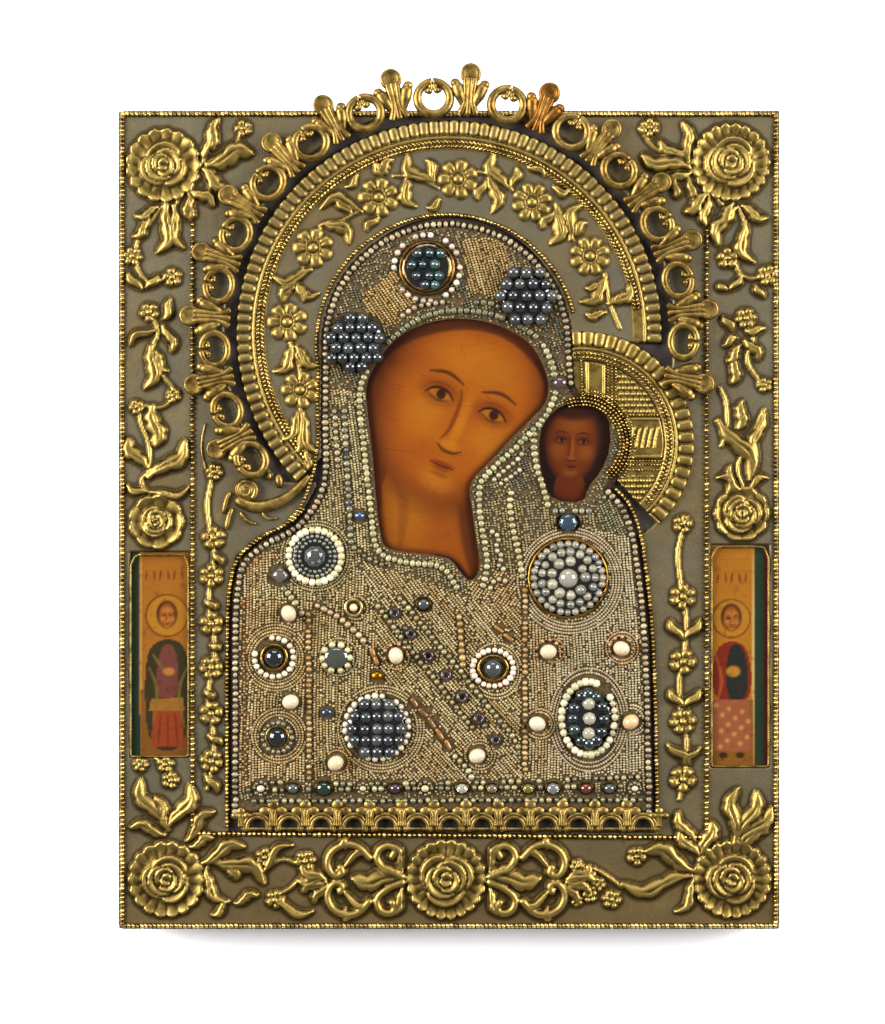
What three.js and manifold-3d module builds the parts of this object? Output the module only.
// An icon panel that lies on its back: a painted board, a gilt repousse cover, two haloes,
// a cast crown of rings and trefoils, a pierced arcade and a robe of beads, pearls and stones.
// Millimetres. +Z is the picture's front, +Y its top, and the origin is the middle of the back.
import * as THREE from 'three';
import { mergeVertices } from 'three/addons/utils/BufferGeometryUtils.js';
import Module from 'manifold-3d';

const wasm = await Module();
wasm.setup();

// Gap between pieces that touch, and how deep relief is rooted in its ground
const FIT = 0.3;
const ROOT = 0.4;

// Corners of the round outlines
const NIMBUS_SIDES = 48;
const CHILD_SIDES = 36;

// Board
const BOARD_WIDTH = 249;
const BOARD_HEIGHT = 309;
const BOARD_THICKNESS = 24;

// Cover of the border
const SHEET = 0.9;
const FOLD_DEPTH = 16;
const ROPE_WIDTH = 2.7;
const ROPE_HEIGHT = 1.5;
const SIDE_BORDER = 28;
const BOTTOM_BORDER = 36;
const BORDER_LEAF_HEIGHT = 2.4;
const FLOWER_HEIGHT = 2.2;
const ROSE_HEIGHT = 3.6;
const SIDE_ROSE_RADIUS = 10.6;
const SIDE_ROSE_RISE = 0.8;
const STRIP_FLOWER_RADIUS = 4;
const LEFT_STRIP_PITCH = 17.2;
const LEFT_STRIP_START = 27;
const RIGHT_STRIP_PITCH = 24;
const RIGHT_STRIP_START = 21;

// Side windows
const WINDOW_WIDTH = 22;
const WINDOW_HEIGHT = 78;
const WINDOW_MARGIN = 4.6;
const WINDOW_FROM_BOTTOM = 64;

// Haloes
const NIMBUS_RADIUS = 81.2;
const NIMBUS_DROP = 83.5;
const NIMBUS_GROUND = 1.7;
const NIMBUS_RELIEF = 3;
const OVAL_LENGTH = 5.7;
const OVAL_PITCH = 4;
const OVAL_HEIGHT = 2.6;
const BRAID_WIDTH = 2.7;
const BRAID_HEIGHT = 1.2;
const CHILD_RADIUS = 42.8;
const CHILD_X = 50.5;
const CHILD_DROP = 41.8;
const CHILD_ARM_HEIGHT = 1;

// Robe: hood and child's hood are arcs, and the pearl row is its outline
const HOOD_RADIUS = 46.3;
const HOOD_DROP = 4.6;
const CHILD_HOOD_RADIUS = 17.5;
const PEARL_ROW_RADIUS = 1.15;
const CLOTH = 0.9;
const BEADWORK = 1.6;

// Crown
const CROWN_STANDOFF = 8;
const CROWN_RADIUS = NIMBUS_RADIUS + CROWN_STANDOFF;
const CROWN_GAP = 4.8;
const CROWN_HEIGHT = 3;
const RING_RADIUS = 6.4;
const RING_BAND = 2.2;
const RING_SQUASH = 0.18;
const KNOB_RADIUS = 3.9;
const KNOB_REACH = 9.9;
const RING_ANGLES = [-2, 13, 27.5, 43.5, 58.5, 75.5, 93.5, 111, 126, 140.5, 155, 168.5, 184, 199, 212.5];

// Arcade at the hem
const ARCH_COUNT = 13;
const ARCH_OUTER = 5.3;
const ARCH_INNER = 3.2;
const ARCH_THICKNESS = 2;
const SILL_HEIGHT = 1.8;
const FLEUR_RISE = 5;

// Sewn-on jewels
const PEARL_RADIUS = 3.2;
const HEM_STONE_RADIUS = 2.7;
const CLUSTER_BEAD_RADIUS = 1.9;
const CRYSTAL_RADIUS = 14.4;
const STAR_RADIUS = 9.8;

// Leaves, one row each: root x, root y, tip x, tip y, bow as a share of the length, width.
// Flowers: x, y, radius. All from the middle of the rose or the strip that they belong to.
const TOP_LEFT = {
  leaves: [
    [15, 1, 17, 13, -0.15, 3], [16, 0, 34, 5, 0.1, 6], [15, -1, 24, -9, -0.2, 4.5],
    [10, -10, 19, -16, 0.2, 4], [10, -11, 10, -21, -0.1, 3.5], [1, -15, -2, -33, 0.25, 4.5],
    [4, -15, 8, -32, -0.2, 3.5], [-2, -16, -11, -19, 0.2, 3], [-6, -21, -11, -27, 0.2, 3],
  ],
  flowers: [[30, 14, 3], [-12, -35, 3.5], [3, -43, 3.5]],
};
const TOP_RIGHT = {
  leaves: [
    [-16, -1, -18, 15, -0.1, 3.5], [-16, 1, -27, 8, 0.1, 3.5], [-16, -2, -34, 3, 0.1, 5],
    [-15, -4, -23, -8, -0.1, 3], [-9, -12, -17, -19, 0.1, 4], [-8, -13, -10, -24, -0.1, 3.5],
    [1, -16, -6, -24, 0.2, 3.5], [2, -17, -5, -32, -0.3, 4.5], [4, -16, 14, -21, -0.2, 3.5],
    [6, -22, 9, -38, -0.4, 4],
  ],
  flowers: [[-31, 13, 3.5], [-1, -36, 4], [14, -43, 4]],
};
const BOTTOM_LEFT = {
  leaves: [
    [0, 21, -10, 38, 0.2, 4.5], [1, 18, -4, 31, -0.1, 3.5], [0, 20, 9, 36, -0.25, 5],
    [0, 17, -14, 20, -0.2, 4], [9, 12, 18, 16, 0.1, 3.5], [8, 14, 18, 26, 0.15, 4],
    [14, 6, 29, 13, 0.2, 5.5], [14, 5, 35, 1, -0.1, 5],
    [26, -10, 35, -6, 0.2, 3],
  ],
  flowers: [[0, 44, 3], [-10, 44, 2.5], [38, 8, 3.5], [41, -8, 3.5], [53, 7, 4]],
};
const BOTTOM_RIGHT = {
  leaves: [
    [1, 14, 2, 34, 0.1, 4.5], [2, 14, 10, 33, -0.1, 4.5], [3, 14, 15, 27, -0.1, 4.5],
    [4, 14, 14, 18, 0.1, 3.5], [-12, 9, -20, 19, 0.2, 4], [-11, 10, -8, 22, -0.1, 4.5],
    [-14, 14, -21, 26, 0.2, 3.5], [-14, 3, -33, 11, -0.2, 5.5], [-15, 2, -42, -2, 0.2, 4.5],
    [-14, 0, -21, -12, 0.3, 3],
  ],
  flowers: [[-36, 9, 3.5], [-46, -8, 3.5]],
};
const BOTTOM_MIDDLE_HALF = {
  leaves: [
    [-16, 1, -26, 8, 0.2, 3.5], [-17, 3, -23, 13, -0.4, 3], [-17, -3, -23, -13, 0.4, 3],
    [-16, 0, -36, 0, 0.02, 5.5],
    [-46, 0, -55, 5, 0.1, 3.5], [-46, 0, -57, 0, 0, 3.5], [-46, -1, -55, -5, -0.1, 3.5],
    [-45, -2, -50, -9, -0.1, 3],
  ],
  flowers: [],
};
const LEFT_BORDER = {
  leaves: [
    [2, 74, 6, 64, 0.2, 3],
    [-2, 66, -4, 50, 0.3, 4.5], [0, 65, 4, 56, -0.2, 3], [-2, 44, 0, 28, 0.05, 5.5],
    [-3, 20, -11, 31, 0.2, 4.5], [-3, 16, 11, 30, -0.25, 5], [-2, 19, 8, 20, 0.2, 3.5],
  ],
  flowers: [[-3, 79, 3.5], [6, 48, 2.5], [-8, 43, 2.5]],
};
const RIGHT_BORDER = {
  leaves: [
    [1, 68, 6, 61, 0.2, 3.5], [-1, 66, -5, 60, 0.1, 3], [-2, 62, -4, 52, 0.1, 3.5],
    [0, 46, -2, 34, 0.1, 4], [9, 41, 6, 24, -0.2, 3.5], [-9, 38, 3, 15, 0.25, 5.5],
  ],
  flowers: [[2, 77, 4], [9, 51, 2.5]],
};

// Heights of the grounds above the back of the board
const front = BOARD_THICKNESS;
const bedding = front + FIT;
const sheetTop = bedding + SHEET;
const clothTop = bedding + CLOTH;
const beadTop = clothTop + BEADWORK;
const nimbusTop = bedding + NIMBUS_GROUND;
const jewelBase = beadTop + FIT;
const crownBase = sheetTop + ROPE_HEIGHT + FIT;
const aboveAll = crownBase + 9;

// Places that the pieces share
const nimbus = { x: 0, y: BOARD_HEIGHT / 2 - NIMBUS_DROP };
const child = { x: nimbus.x + CHILD_X, y: nimbus.y - CHILD_DROP };
const hood = { x: nimbus.x - 0.8, y: nimbus.y - HOOD_DROP };
const nimbusFoot = nimbus.y - NIMBUS_RADIUS * 0.69;
const coverHalfWidth = BOARD_WIDTH / 2 + FIT + SHEET;
const coverHalfHeight = BOARD_HEIGHT / 2 + FIT + SHEET;
const sideRope = coverHalfWidth - SIDE_BORDER;
const bottomRope = -coverHalfHeight + BOTTOM_BORDER;
const openingBottom = bottomRope + ROPE_WIDTH / 2;
const arcadeBottom = openingBottom + FIT;
const archTop = SILL_HEIGHT + ARCH_OUTER;
const hem = arcadeBottom + archTop + FLEUR_RISE + FIT;
const robeEdge = PEARL_ROW_RADIUS + FIT;

const TAU = Math.PI * 2;
const radians = THREE.MathUtils.degToRad;
const polar = (centre, radius, degrees) => [
  centre.x + radius * Math.cos(radians(degrees)),
  centre.y + radius * Math.sin(radians(degrees)),
];

// Solids

const MERGE = 1e-3;

function toSolid(geometry) {
  const plain = geometry.index ? geometry.toNonIndexed() : geometry.clone();
  plain.deleteAttribute('normal');
  plain.deleteAttribute('uv');
  const merged = mergeVertices(plain, MERGE);
  const corners = merged.index.array;
  const triangles = [];
  for (let i = 0; i < corners.length; i += 3) {
    const [a, b, c] = corners.slice(i, i + 3);
    if (a !== b && b !== c && c !== a) triangles.push(a, b, c);
  }
  return new wasm.Manifold(new wasm.Mesh({
    numProp: 3,
    vertProperties: new Float32Array(merged.attributes.position.array),
    triVerts: new Uint32Array(triangles),
  }));
}

function toGeometry(solid) {
  const mesh = solid.getMesh();
  const geometry = new THREE.BufferGeometry();
  geometry.setAttribute('position', new THREE.BufferAttribute(mesh.vertProperties, 3));
  geometry.setIndex(new THREE.BufferAttribute(mesh.triVerts, 1));
  geometry.computeVertexNormals();
  return geometry;
}

const join = (solids) => solids.reduce((all, solid) => all.add(solid));

// The largest body of a solid, without the slivers that its cuts leave
function largest(solid) {
  const merged = toSolid(toGeometry(solid));
  return merged.decompose().sort((a, b) => b.volume() - a.volume())[0];
}

function box(x0, x1, y0, y1, z0, z1) {
  const geometry = new THREE.BoxGeometry(x1 - x0, y1 - y0, z1 - z0);
  geometry.translate((x0 + x1) / 2, (y0 + y1) / 2, (z0 + z1) / 2);
  return toSolid(geometry);
}

function slab(shape, z0, z1, curveSegments = 12) {
  const geometry = new THREE.ExtrudeGeometry(shape, { depth: z1 - z0, bevelEnabled: false, curveSegments });
  geometry.translate(0, 0, z0);
  return toSolid(geometry);
}

const outlineShape = (points) => new THREE.Shape(points.map(([x, y]) => new THREE.Vector2(x, y)));

function disc(centre, radius, z0, z1, sides) {
  const points = Array.from({ length: sides }, (_, i) => polar(centre, radius, (360 * i) / sides));
  return slab(outlineShape(points), z0, z1);
}

// Rings of corners stacked into a closed solid, with a fan over each end. A ring may be one point.
function stack(rings) {
  const sides = rings[0].length;
  const positions = rings.flat(2);
  const index = [];
  for (let side = 0; side < sides; side++) {
    const next = (side + 1) % sides;
    for (let ring = 0; ring + 1 < rings.length; ring++) {
      const [a, b] = [ring * sides + side, ring * sides + next];
      index.push(a, b, a + sides, b, b + sides, a + sides);
    }
    const top = (rings.length - 1) * sides;
    if (side > 0 && next > 0) index.push(0, next, side, top, top + side, top + next);
  }
  const geometry = new THREE.BufferGeometry();
  geometry.setAttribute('position', new THREE.Float32BufferAttribute(positions, 3));
  geometry.setIndex(index);
  return toSolid(geometry);
}

// A mound on a ground at z. Each ring is [radius, height, scallop as a share of the radius].
function mound([x, y], z, sides, rings, turn = 0) {
  return stack(rings.map(([radius, height, scallop = 0]) => Array.from({ length: sides }, (_, i) => {
    const reach = radius * (i % 2 ? 1 - scallop : 1);
    const angle = (TAU * i) / sides + radians(turn);
    return [x + reach * Math.cos(angle), y + reach * Math.sin(angle), z + height];
  })));
}

// A ridge with a roof-shaped section along stations of [x, y, width, height].
function ridge(stations, z) {
  const last = stations.length - 1;
  return stack(stations.map(([x, y, width, height], i) => {
    const [ax, ay] = stations[Math.max(i - 1, 0)];
    const [bx, by] = stations[Math.min(i + 1, last)];
    const run = Math.hypot(bx - ax, by - ay);
    const across = [(ay - by) / run, (bx - ax) / run];
    return [[1, 0], [0, 1], [-1, 0]].map(([side, up]) => [
      x + (across[0] * side * width) / 2,
      y + (across[1] * side * width) / 2,
      z - ROOT + up * (height + ROOT),
    ]);
  }));
}

// Relief motifs

const LEAF_PROFILE = [[0, 0.3], [0.4, 1], [1, 0]];

function leaf([x0, y0, x1, y1, bow, width], [ax, ay], z, height, mirror = 1) {
  const side = [(y0 - y1) * bow * 2, (x1 - x0) * bow * 2];
  const stations = LEAF_PROFILE.map(([t, share]) => {
    const lift = t * (1 - t);
    const x = x0 + (x1 - x0) * t + side[0] * lift;
    const y = y0 + (y1 - y0) * t + side[1] * lift;
    return [ax + mirror * x, ay + y, width * share, share ? height * share : -ROOT];
  });
  return ridge(stations, z);
}

function flower(centre, radius, z, height, petals = 4, turn = 0) {
  return mound(centre, z, petals * 2, [[radius, -ROOT, 0.35], [0, height]], turn);
}

function rose(centre, radius, z, height, scallops) {
  const rim = [[radius, -ROOT, 0.08], [radius * 0.84, height * 0.4]];
  const bloom = [[radius * 0.66, -ROOT], [radius * 0.5, height * 0.8], [0, height]];
  return mound(centre, z, scallops * 2, rim).add(mound(centre, z, 8, bloom, 10));
}

function motifs({ leaves, flowers }, anchor, z, mirror = 1) {
  return [
    ...leaves.map((row) => leaf(row, anchor, z, BORDER_LEAF_HEIGHT, mirror)),
    ...flowers.map(([x, y, radius]) => (
      flower([anchor[0] + mirror * x, anchor[1] + y], radius, z, FLOWER_HEIGHT))),
  ];
}

// The robe's outline, from the left end of the hem over both hoods to the right end
const ROBE_LEFT_FOOT = -81.5;
const ROBE_RIGHT_FOOT = 76.3;
const ROBE_LEFT = [[-81.5, -116], [-81, -98], [-78.5, -87], [-71, -80.5], [-58.5, -74.5],
  [-52.5, -68], [-48, -60], [-46.8, -50], [-47.4, -36]];
const ROBE_NECK = [[46, -13], [46.3, -20]];
const ROBE_RIGHT = [[60, -59.5], [66, -66], [69.7, -75], [72, -90], [75, -118]];

function arcPoints(centre, radius, from, to, count) {
  return Array.from({ length: count }, (_, i) => polar(centre, radius, from + ((to - from) * i) / (count - 1)));
}

function robePath(offset, bottom) {
  const place = ([x, y]) => [nimbus.x + x, nimbus.y + y];
  const points = [
    [nimbus.x + ROBE_LEFT_FOOT, bottom],
    ...ROBE_LEFT.map(place),
    ...arcPoints(hood, HOOD_RADIUS, 184, -2, 14),
    ...ROBE_NECK.map(place),
    ...arcPoints(child, CHILD_HOOD_RADIUS, 96, -40, 7),
    ...ROBE_RIGHT.map(place),
    [nimbus.x + ROBE_RIGHT_FOOT, bottom],
  ];
  return points.map(([x, y], i) => {
    const [ax, ay] = points[Math.max(i - 1, 0)];
    const [bx, by] = points[Math.min(i + 1, points.length - 1)];
    const run = Math.hypot(bx - ax, by - ay);
    return [x - (offset * (by - ay)) / run, y + (offset * (bx - ax)) / run];
  });
}

const robeSlab = (offset, bottom, z0, z1) => slab(outlineShape(robePath(offset, bottom).reverse()), z0, z1);

// The face openings: the mother's head leans towards the child.
const MOTHER_OPENING = [[2, 3], [16, 2], [27, -4], [34, -13], [35, -25], [27, -35], [10, -51], [8, -62],
  [10, -86], [8, -94], [0, -87], [-18, -83], [-25, -82], [-29, -59], [-31, -33], [-30, -21], [-20, -8]];
const CHILD_OPENING = [[-15, 8], [-8, 15], [2, 16], [10, 11], [11, -2], [7, -11], [2, -17], [0, -23],
  [-11, -22], [-15, -12], [-17, -2]];

function opening(points, centre, z0, z1) {
  const shape = new THREE.Shape();
  const placed = points.map(([x, y]) => new THREE.Vector2(centre.x + x, centre.y + y));
  shape.setFromPoints(new THREE.CatmullRomCurve3(
    placed.map((p) => new THREE.Vector3(p.x, p.y, 0)), true, 'centripetal',
  ).getPoints(Math.round(points.length * 1.5)).slice(0, -1));
  return slab(shape, z0, z1);
}

const faceOpenings = opening(MOTHER_OPENING, nimbus, front, beadTop + 1)
  .add(opening(CHILD_OPENING, child, front, beadTop + 1));

// Pieces

function makeBoard() {
  return box(-BOARD_WIDTH / 2, BOARD_WIDTH / 2, -BOARD_HEIGHT / 2, BOARD_HEIGHT / 2, 0, front);
}

// A flat-backed ring turned from a closed profile of [radius, height]
function turnedRing(profile, segments) {
  const geometry = new THREE.LatheGeometry(
    [...profile, profile[0]].map(([radius, height]) => new THREE.Vector2(radius, height)), segments);
  return geometry.rotateX(Math.PI / 2);
}

// Ring of the crown, squashed along the crown's radius at the sides
function crownRing(angle) {
  const squash = 1 - RING_SQUASH * Math.cos(radians(angle)) ** 2;
  const geometry = turnedRing([[RING_RADIUS - RING_BAND / 2, 0], [RING_RADIUS + RING_BAND / 2, 0],
    [RING_RADIUS, RING_BAND]], 8);
  geometry.scale(squash, 1, 1);
  geometry.rotateZ(radians(angle));
  const [x, y] = polar(nimbus, CROWN_RADIUS, angle);
  geometry.translate(x, y, crownBase);
  return toSolid(geometry);
}

// Foot between two rings, with a leaf to either side and a knob at the end
function trefoil(angle, halfStep) {
  const at = (radius, degrees) => polar(nimbus, radius, angle + degrees);
  const inner = CROWN_RADIUS - RING_RADIUS / 2;
  const outer = CROWN_RADIUS + KNOB_REACH - KNOB_RADIUS * 0.6;
  const side = halfStep - THREE.MathUtils.radToDeg(Math.asin((RING_RADIUS * 0.8) / CROWN_RADIUS));
  const foot = outlineShape([at(inner, -side), at(outer, -side * 0.7), at(outer, side * 0.7), at(inner, side)]);
  const knob = polar(nimbus, CROWN_RADIUS + KNOB_REACH, angle);
  return slab(foot, crownBase, crownBase + CROWN_HEIGHT / 2).add(
    mound(knob, crownBase, 5, [[KNOB_RADIUS, 0], [KNOB_RADIUS * 0.9, CROWN_HEIGHT * 0.6],
      [0, CROWN_HEIGHT]], angle),
  );
}

function makeCrown() {
  const solids = RING_ANGLES.map(crownRing);
  const step = (i) => RING_ANGLES[Math.min(i + 1, RING_ANGLES.length - 1)] - RING_ANGLES[Math.max(i, 0)] || 12;
  for (let i = -1; i < RING_ANGLES.length - 1; i++) {
    const width = i < 0 ? step(0) : step(i);
    const angle = i < 0 ? RING_ANGLES[0] - width / 2 : RING_ANGLES[i] + width / 2;
    solids.push(trefoil(angle, width / 2));
  }
  return join(solids);
}

// The horn-shaped scroll that the crown's lower left end springs from
const SCROLL_DROP = 60;
const SCROLL_HEAD_RADIUS = 5.4;

function makeScroll() {
  const head = [nimbus.x - 75.5, nimbus.y - SCROLL_DROP];
  const body = [[-6, 0, 4, 2], [-4, -6, 6, 2.6], [4, -9, 6.4, 3], [13, -6.5, 5, 2.6], [19, 0, 3, 1.6]];
  const stations = body.map(([x, y, width, height]) => [head[0] + x, head[1] + y, width, height]);
  const base = sheetTop + FIT;
  return ridge(stations, base + ROOT).add(
    mound(head, base, 10, [[SCROLL_HEAD_RADIUS, 0], [SCROLL_HEAD_RADIUS * 0.9, 2.2], [2, 3.2]]),
  );
}

// The ring of space that the crown takes over its neighbours, above the height `below`
function crownRoom(below) {
  return disc(nimbus, CROWN_RADIUS + KNOB_REACH + KNOB_RADIUS + 1, crownBase - FIT, aboveAll, NIMBUS_SIDES)
    .subtract(disc(nimbus, NIMBUS_RADIUS, 0, aboveAll + 1, NIMBUS_SIDES))
    .subtract(box(-BOARD_WIDTH, BOARD_WIDTH, -BOARD_HEIGHT, below, 0, aboveAll + 1));
}

function coverOpening() {
  const dark = disc(nimbus, NIMBUS_RADIUS + CROWN_GAP, front, aboveAll, NIMBUS_SIDES)
    .subtract(box(-BOARD_WIDTH, nimbus.x, -BOARD_HEIGHT, nimbusFoot, 0, aboveAll + 1));
  return join([
    robeSlab(robeEdge + FIT, openingBottom, front, aboveAll),
    disc(child, CHILD_RADIUS + FIT, front, aboveAll, CHILD_SIDES),
    dark,
  ]);
}

function windowCut(side) {
  const outer = side * (coverHalfWidth - WINDOW_MARGIN);
  const inner = outer - side * WINDOW_WIDTH;
  const bottom = -coverHalfHeight + WINDOW_FROM_BOTTOM;
  const top = bottom + WINDOW_HEIGHT;
  const corner = WINDOW_WIDTH * 0.3;
  const points = [[outer, bottom], [outer, top - corner * 2], [outer - side * corner, top],
    [inner + side * corner / 2, top], [inner, top - corner], [inner, bottom]];
  return slab(outlineShape(side > 0 ? points : points.reverse()), front, aboveAll);
}

function straightRope(x0, y0, x1, y1) {
  return ridge([[x0, y0, ROPE_WIDTH, ROPE_HEIGHT], [x1, y1, ROPE_WIDTH, ROPE_HEIGHT]], sheetTop);
}

function coverRopes() {
  const x = coverHalfWidth - ROPE_WIDTH / 2;
  const y = coverHalfHeight - ROPE_WIDTH / 2;
  const innerTop = nimbus.y + 42;
  const edge = robePath(robeEdge + FIT + ROPE_WIDTH / 2, openingBottom)
    .map(([px, py]) => [px, py, ROPE_WIDTH, ROPE_HEIGHT]);
  const leftEnd = edge.findIndex((station) => station[1] > nimbus.y - NIMBUS_RADIUS * 0.72);
  const rightStart = edge.length - 4;
  return [
    straightRope(-x, y, x, y), straightRope(x, -y, -x, -y),
    straightRope(-x, -y, -x, y), straightRope(x, y, x, -y),
    straightRope(-sideRope, bottomRope, -sideRope, innerTop),
    straightRope(sideRope, innerTop, sideRope, bottomRope),
    straightRope(sideRope, bottomRope, -sideRope, bottomRope),
    ridge(edge.slice(0, leftEnd), sheetTop),
    ridge(edge.slice(rightStart), sheetTop),
  ];
}

// Corner roses: side, top or bottom, inset from the side, inset from the end, radius, scallops
const ROSES = [
  { at: [-1, 1], inset: [17, 21], radius: 14.5, scallops: 12, around: TOP_LEFT },
  { at: [1, 1], inset: [18.5, 20], radius: 15.2, scallops: 12, around: TOP_RIGHT },
  { at: [-1, -1], inset: [18.5, 19], radius: 14.8, scallops: 12, around: BOTTOM_LEFT },
  { at: [1, -1], inset: [18.5, 19], radius: 15.2, scallops: 12, around: BOTTOM_RIGHT },
];
const MIDDLE_ROSE_RADIUS = 15.8;

function coverRelief() {
  const solids = coverRopes();
  for (const { at, inset, radius, scallops, around } of ROSES) {
    const centre = [at[0] * (coverHalfWidth - inset[0]), at[1] * (coverHalfHeight - inset[1])];
    solids.push(rose(centre, radius, sheetTop, ROSE_HEIGHT, scallops));
    solids.push(...motifs(around, centre, sheetTop));
  }
  const middle = [0, -coverHalfHeight + 19];
  solids.push(rose(middle, MIDDLE_ROSE_RADIUS, sheetTop, ROSE_HEIGHT, 12));
  solids.push(...motifs(BOTTOM_MIDDLE_HALF, middle, sheetTop), ...motifs(BOTTOM_MIDDLE_HALF, middle, sheetTop, -1));
  const sideX = coverHalfWidth - SIDE_BORDER / 2;
  solids.push(...motifs(LEFT_BORDER, [-sideX, 0], sheetTop), ...motifs(RIGHT_BORDER, [sideX, 0], sheetTop));
  for (const side of [-1, 1]) {
    solids.push(rose([side * sideX, side * SIDE_ROSE_RISE], SIDE_ROSE_RADIUS, sheetTop, ROSE_HEIGHT, 7));
  }
  const left = (-sideRope - ROPE_WIDTH / 2 + nimbus.x + ROBE_LEFT_FOOT - robeEdge) / 2;
  const right = (sideRope + nimbus.x + ROBE_RIGHT_FOOT + robeEdge + ROPE_WIDTH) / 2;
  for (let y = bottomRope + LEFT_STRIP_START; y < 0; y += LEFT_STRIP_PITCH) {
    solids.push(flower([left, y], STRIP_FLOWER_RADIUS, sheetTop, FLOWER_HEIGHT));
  }
  for (let y = bottomRope + RIGHT_STRIP_START; y < 0; y += RIGHT_STRIP_PITCH) {
    solids.push(flower([right, y], STRIP_FLOWER_RADIUS * 1.1, sheetTop, FLOWER_HEIGHT));
  }
  return solids;
}

function makeCover() {
  const shell = box(-coverHalfWidth, coverHalfWidth, -coverHalfHeight, coverHalfHeight,
    front - FOLD_DEPTH, sheetTop);
  const inside = box(-BOARD_WIDTH / 2 - FIT, BOARD_WIDTH / 2 + FIT, -BOARD_HEIGHT / 2 - FIT,
    BOARD_HEIGHT / 2 + FIT, -1, bedding);
  const scrollRoom = disc({ x: nimbus.x - 72, y: nimbus.y - SCROLL_DROP - 3 }, 18, sheetTop, aboveAll, 14);
  const crown = crownRoom(nimbus.y - NIMBUS_RADIUS * 0.75);
  return largest(join([shell, ...coverRelief()])
    .subtract(join([inside, coverOpening(), windowCut(-1), windowCut(1), crown, scrollRoom])));
}

// Pyramid tiles around a circle, wherever `clear` says that there is room
function ovals(centre, outer, pitch, clear) {
  const count = Math.round((TAU * outer) / pitch);
  const middle = outer - OVAL_LENGTH / 2 - FIT;
  const solids = [];
  for (let i = 0; i < count; i++) {
    const angle = (360 * i) / count;
    if (!clear(polar(centre, middle, angle))) continue;
    const at = (along, across, height) => [
      ...polar(centre, middle + along, angle + THREE.MathUtils.radToDeg(across / middle)), height,
    ];
    const [a, b] = [OVAL_LENGTH / 2, pitch * 0.42];
    solids.push(stack([
      [at(-a, -b, nimbusTop - ROOT), at(a, -b, nimbusTop - ROOT), at(a, b, nimbusTop - ROOT),
        at(-a, b, nimbusTop - ROOT)],
      Array(4).fill(at(0, 0, nimbusTop + OVAL_HEIGHT)),
    ]));
  }
  return solids;
}

function braid(centre, radius, segments) {
  const z = nimbusTop - ROOT;
  const geometry = turnedRing([[radius - BRAID_WIDTH / 2, 0], [radius + BRAID_WIDTH / 2, 0],
    [radius, BRAID_HEIGHT + ROOT]], segments);
  return toSolid(geometry.translate(centre.x, centre.y, z));
}

const NIMBUS_FLOWER_ANGLES = [28.8, 57.8, 87.1, 118.8, 147.6, 175, 200.7];
const NIMBUS_LEAVES = [[3, 6, 8, 0.2], [4, -5, 12, -0.3], [18, 7, 12, 0.2]];
const NIMBUS_FLOWER_RADIUS = 61;

function nimbusRelief() {
  const solids = [];
  NIMBUS_FLOWER_ANGLES.forEach((angle, i) => {
    const centre = polar(nimbus, NIMBUS_FLOWER_RADIUS, angle);
    solids.push(flower(centre, 7.4, nimbusTop, NIMBUS_RELIEF, 6, angle));
    if (i === NIMBUS_FLOWER_ANGLES.length - 1) return;
    for (const [from, radial, to, bow] of NIMBUS_LEAVES) {
      const [x0, y0] = polar(nimbus, NIMBUS_FLOWER_RADIUS + radial / 3, angle + from + 5);
      const [x1, y1] = polar(nimbus, NIMBUS_FLOWER_RADIUS + radial, angle + to + 5);
      solids.push(leaf([x0, y0, x1, y1, bow, 3.4], [0, 0], nimbusTop, NIMBUS_RELIEF * 0.7));
    }
  });
  return solids;
}

const away = (centre, radius) => ([x, y]) => Math.hypot(x - centre.x, y - centre.y) > radius;

function makeNimbus() {
  const clear = (point) => away(child, CHILD_RADIUS + 3)(point)
    && !(point[0] < nimbus.x && point[1] < nimbus.y - NIMBUS_RADIUS * 0.7)
    && !(point[0] > nimbus.x && point[1] < nimbus.y - 10);
  const plate = disc(nimbus, NIMBUS_RADIUS, bedding, nimbusTop, NIMBUS_SIDES);
  const body = join([
    plate,
    ...ovals(nimbus, NIMBUS_RADIUS, OVAL_PITCH * 1.2, clear),
    braid(nimbus, NIMBUS_RADIUS - OVAL_LENGTH - FIT - BRAID_WIDTH, NIMBUS_SIDES),
    ...nimbusRelief(),
  ]);
  return largest(body
    .subtract(robeSlab(robeEdge + FIT, openingBottom, front, aboveAll))
    .subtract(disc(child, CHILD_RADIUS + FIT, front, aboveAll, CHILD_SIDES))
    .subtract(box(-BOARD_WIDTH, nimbus.x, -BOARD_HEIGHT, nimbusFoot + FIT, 0, aboveAll)));
}

function makeChildNimbus() {
  const inside = away(nimbus, NIMBUS_RADIUS + 4);
  const clear = ([x, y]) => y > child.y - CHILD_RADIUS * 0.6 && x > child.x - CHILD_RADIUS * 0.2
    && (!inside([x, y]) || y < child.y + CHILD_RADIUS * 0.75);
  const arm = (x0, x1, y0, y1) => box(child.x + x0, child.x + x1, child.y + y0, child.y + y1,
    nimbusTop - ROOT, nimbusTop + CHILD_ARM_HEIGHT);
  const body = join([
    disc(child, CHILD_RADIUS, bedding, nimbusTop, CHILD_SIDES),
    ...ovals(child, CHILD_RADIUS, OVAL_PITCH * 1.35, clear),
    braid(child, CHILD_RADIUS - OVAL_LENGTH - FIT - BRAID_WIDTH, CHILD_SIDES),
    arm(1, 8, 19, 31),
    arm(17, 31, -5, 9),
  ]);
  return largest(body
    .subtract(robeSlab(robeEdge + FIT, openingBottom, front, aboveAll))
    .subtract(crownRoom(nimbus.y - NIMBUS_RADIUS * 0.36)));
}

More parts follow.
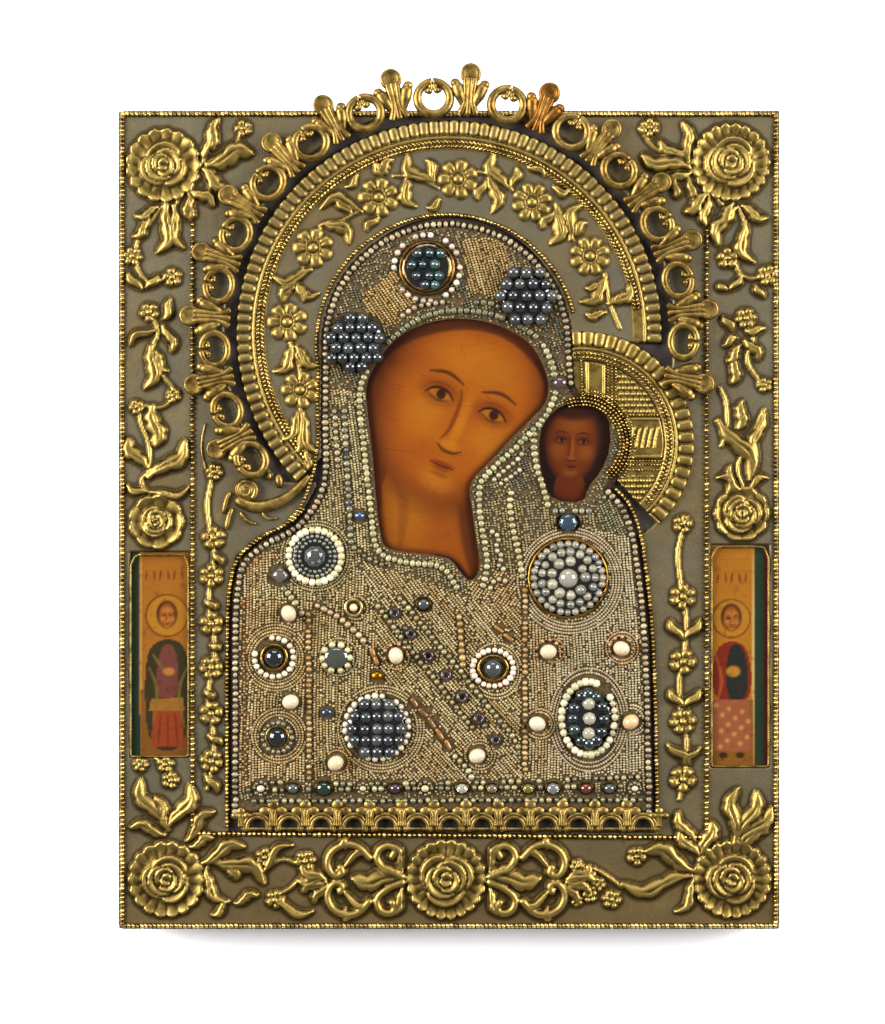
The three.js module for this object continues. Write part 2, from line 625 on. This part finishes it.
// One cut-out plate: a sill, round arches and a fleur between each two
function makeArcade() {
  const left = nimbus.x + ROBE_LEFT[0][0] + 1;
  const right = nimbus.x + ROBE_RIGHT[ROBE_RIGHT.length - 1][0] - 1;
  const pitch = (right - left) / ARCH_COUNT;
  const sill = arcadeBottom + SILL_HEIGHT;
  const top = sill + ARCH_OUTER + FLEUR_RISE;
  const points = [[left, arcadeBottom], [right, arcadeBottom], [right, sill + ARCH_OUTER / 2]];
  for (let i = ARCH_COUNT - 1; i >= 0; i--) {
    const x = left + (i + 0.5) * pitch;
    points.push(...[55, 125].map((angle) => polar({ x, y: sill }, ARCH_OUTER, angle)));
    if (i > 0) {
      const joint = x - pitch / 2;
      points.push([joint + pitch * 0.12, top - 1], [joint - pitch * 0.12, top - 1]);
    }
  }
  points.push([left, sill + ARCH_OUTER / 2]);
  const z = clothTop + FIT;
  const holes = Array.from({ length: ARCH_COUNT }, (_, i) => {
    const middle = { x: left + (i + 0.5) * pitch, y: sill };
    const outline = [0, 60, 120, 180].map((angle) => polar(middle, ARCH_INNER, angle));
    return slab(outlineShape(outline), z - 1, z + ARCH_THICKNESS + 1);
  });
  return slab(outlineShape(points), z, z + ARCH_THICKNESS).subtract(join(holes));
}

function makeRobe() {
  const cloth = robeSlab(robeEdge, arcadeBottom, bedding, clothTop);
  const beadwork = robeSlab(-robeEdge, hem, clothTop - ROOT, beadTop);
  return largest(cloth.add(beadwork).subtract(faceOpenings));
}

function makePearlRow() {
  const z = clothTop + FIT + PEARL_ROW_RADIUS;
  const path = robePath(0, hem);
  const last = path.length - 1;
  return stack(path.map(([x, y], i) => {
    const [ax, ay] = path[Math.max(i - 1, 0)];
    const [bx, by] = path[Math.min(i + 1, last)];
    const run = Math.hypot(bx - ax, by - ay);
    const across = [(ay - by) / run, (bx - ax) / run];
    return [[1, 0], [0, 1], [-1, 0], [0, -1]].map(([side, up]) => [
      x + across[0] * side * PEARL_ROW_RADIUS,
      y + across[1] * side * PEARL_ROW_RADIUS,
      z + up * PEARL_ROW_RADIUS,
    ]);
  }));
}

// Where a jewel sits. Below the shoulder the robe's jewels close up with a shorter robe.
const SHOULDER_DROP = 84;
const JEWEL_FIELD = 92.65;
const jewelFall = (nimbus.y - SHOULDER_DROP - hem) / JEWEL_FIELD;

function jewelPlace([x, y]) {
  const below = Math.max(0, -y - SHOULDER_DROP);
  return { x: nimbus.x + x, y: nimbus.y + y + below * (1 - jewelFall) };
}

// A setting on the beadwork: rings of [radius, height] up to a small flat top
function jewel(place, sides, rings) {
  const { x, y } = jewelPlace(place);
  return mound([x, y], jewelBase, sides, rings);
}

const pearl = (place, radius) => jewel(place, 6, [
  [radius * 0.7, 0], [radius, radius], [0, radius * 1.9],
]);

// A backing disc with rings of beads: each ring is [radius, bead radius, count].
function beadedBrooch(place, radius, thickness, rings) {
  const centre = jewelPlace(place);
  const solids = [disc(centre, radius, jewelBase, jewelBase + thickness, 12)];
  for (const [reach, bead, count] of rings) {
    for (let i = 0; i < count; i++) {
      solids.push(mound(polar(centre, reach, (360 * (i + 0.5)) / count), jewelBase + thickness, 4,
        [[bead, -ROOT], [0, bead * 1.2]]));
    }
  }
  return join(solids);
}

const PEARLS = [[-60.8, -106.4], [-60.1, -139.9], [-43, -163.1], [-20.2, -122.4], [37.6, -120.9],
  [65.3, -119.7], [33.4, -148.2], [68.8, -147.5], [10.6, -160.4]];
const HEM_STONES = [[-71.5, 3], [-59.3, 2.6], [-47.5, 3.6], [-32.7, 2.4], [-20.5, 2.6], [-9.1, 3], [4.9, 2.7],
  [16.3, 2.4], [30, 2.6], [39.5, 3], [52, 2.8], [60.8, 2.6], [70.5, 2.6]];
const SMALL_STONES = [
  ['blue_neck_stone', [-34, -69.5], 2.2], ['green_stone', [-42.9, -123.3], 4.8],
  ['ringed_pearl', [-36.3, -104.3], 3], ['dark_stone', [-9.7, -103], 2.4],
  ['blue_sleeve_stone', [-46.5, -144.2], 2.2], ['purple_head_stone', [42.1, -19], 2.6],
];
const DARK_CLUSTER = [-27.4, -149.8];
const DARK_CLUSTER_RADIUS = 12.2;
const BRASS_OVAL_RADIUS = 2.2;
const BRASS_OVAL_GAP = 5.2;

function makeJewels() {
  const cabochon = (radius) => [[radius, 0], [radius, 1.2], [radius * 0.5, 2.8], [0, 3.4]];
  const bead = CLUSTER_BEAD_RADIUS;
  const pieces = {
    star_brooch: beadedBrooch([-50.9, -84.8], STAR_RADIUS, 1.2,
      [[0, 4.6, 1], [STAR_RADIUS - 1.6, 1.4, 12]]),
    crystal_brooch: beadedBrooch([45.2, -93.1], CRYSTAL_RADIUS, 1.2,
      [[0, 3.4, 1], [6.4, 2.1, 8], [CRYSTAL_RADIUS - 4.4, 1.7, 14]]),
    oval_brooch: beadedBrooch([52.8, -146.3], 10.6, 1.2, [[0, 2.5, 1], [6.4, 2.2, 8]]),
    rosette_brooch: beadedBrooch([-8.4, 24.7], 10.6, 1.4, [[0, 2.3, 1], [5.2, 2.3, 6]]),
    left_head_cluster: beadedBrooch([-35.4, -2.7], 10.4, 1, [[0, bead, 1], [4, bead, 6], [8, bead, 10]]),
    right_head_cluster: beadedBrooch([29.4, 13.4], 9.6, 1, [[0, bead, 1], [4, bead, 6], [7.4, bead, 9]]),
    dark_cluster: beadedBrooch(DARK_CLUSTER, DARK_CLUSTER_RADIUS, 1, [[0, bead, 1], [4.2, bead, 6], [8.4, bead, 12]]),
    upper_cabochon: jewel([-66.5, -123.2], 8, cabochon(7)),
    lower_cabochon: jewel([-65.3, -153.6], 8, cabochon(6.4)),
    sleeve_cabochon: jewel([16.7, -127.3], 8, cabochon(7.6)),
    square_stone: jewel([-64.2, -92], 4, [[3.8, 0], [3.8, 1.6], [0, 2.8]]),
    oval_blue_stone: jewel([45.2, -71.9], 8, [[3.6, 0], [3.4, 1.6], [0, 2.8]]),
  };
  PEARLS.forEach((place, i) => { pieces[`pearl_${i + 1}`] = pearl(place, PEARL_RADIUS); });
  HEM_STONES.forEach(([x, radius], i) => {
    pieces[`hem_stone_${i + 1}`] = mound([nimbus.x + x, hem + HEM_STONE_RADIUS + 1], jewelBase, 6,
      [[radius, 0], [radius * 0.9, 1.6], [0, 2.8]]);
  });
  const small = (radius) => [[radius, 0], [radius, 1.2], [0, 2.6]];
  for (const [name, place, radius] of SMALL_STONES) pieces[name] = jewel(place, 6, small(radius));
  const cluster = jewelPlace(DARK_CLUSTER);
  const ovalPlace = [cluster.x, cluster.y + DARK_CLUSTER_RADIUS + BRASS_OVAL_GAP + BRASS_OVAL_RADIUS];
  pieces.brass_oval = mound(ovalPlace, jewelBase, 6, small(BRASS_OVAL_RADIUS));
  return pieces;
}

// Materials and nodes

const finish = (color, roughness, metalness) => new THREE.MeshStandardMaterial({ color, roughness, metalness });
const FINISHES = {
  wood: finish(0x6b4326, 0.7, 0),
  gilt: finish(0xb08d3e, 0.35, 1),
  crown: finish(0xa5853c, 0.4, 1),
  beadwork: finish(0xa89a7c, 0.6, 0),
  pearl: finish(0xd8cdb8, 0.3, 0),
  crystal: finish(0xc7ccd2, 0.1, 0),
  darkStone: finish(0x2f3440, 0.2, 0),
  stone: finish(0x3d4a5c, 0.2, 0),
};

const pieces = {
  icon_board: [makeBoard(), FINISHES.wood],
  border_cover: [makeCover(), FINISHES.gilt],
  nimbus: [makeNimbus(), FINISHES.gilt],
  child_nimbus: [makeChildNimbus(), FINISHES.gilt],
  halo_crown: [makeCrown(), FINISHES.crown],
  horn_scroll: [makeScroll(), FINISHES.crown],
  hem_arcade: [makeArcade(), FINISHES.crown],
  robe: [makeRobe(), FINISHES.beadwork],
  robe_pearl_row: [makePearlRow(), FINISHES.pearl],
};

const PEARLY = /^(pearl_|star_brooch|ringed_pearl)/;
const DARK = /(cluster|cabochon|rosette|dark|oval_brooch)/;
for (const [name, solid] of Object.entries(makeJewels())) {
  const dark = DARK.test(name) ? FINISHES.darkStone : FINISHES.stone;
  const clear = name === 'crystal_brooch' ? FINISHES.crystal : dark;
  pieces[name] = [solid, PEARLY.test(name) ? FINISHES.pearl : clear];
}

const icon = new THREE.Group();
for (const [name, [solid, material]] of Object.entries(pieces)) {
  const mesh = new THREE.Mesh(toGeometry(solid), material.clone());
  mesh.name = name;
  icon.add(mesh);
}

export default icon;
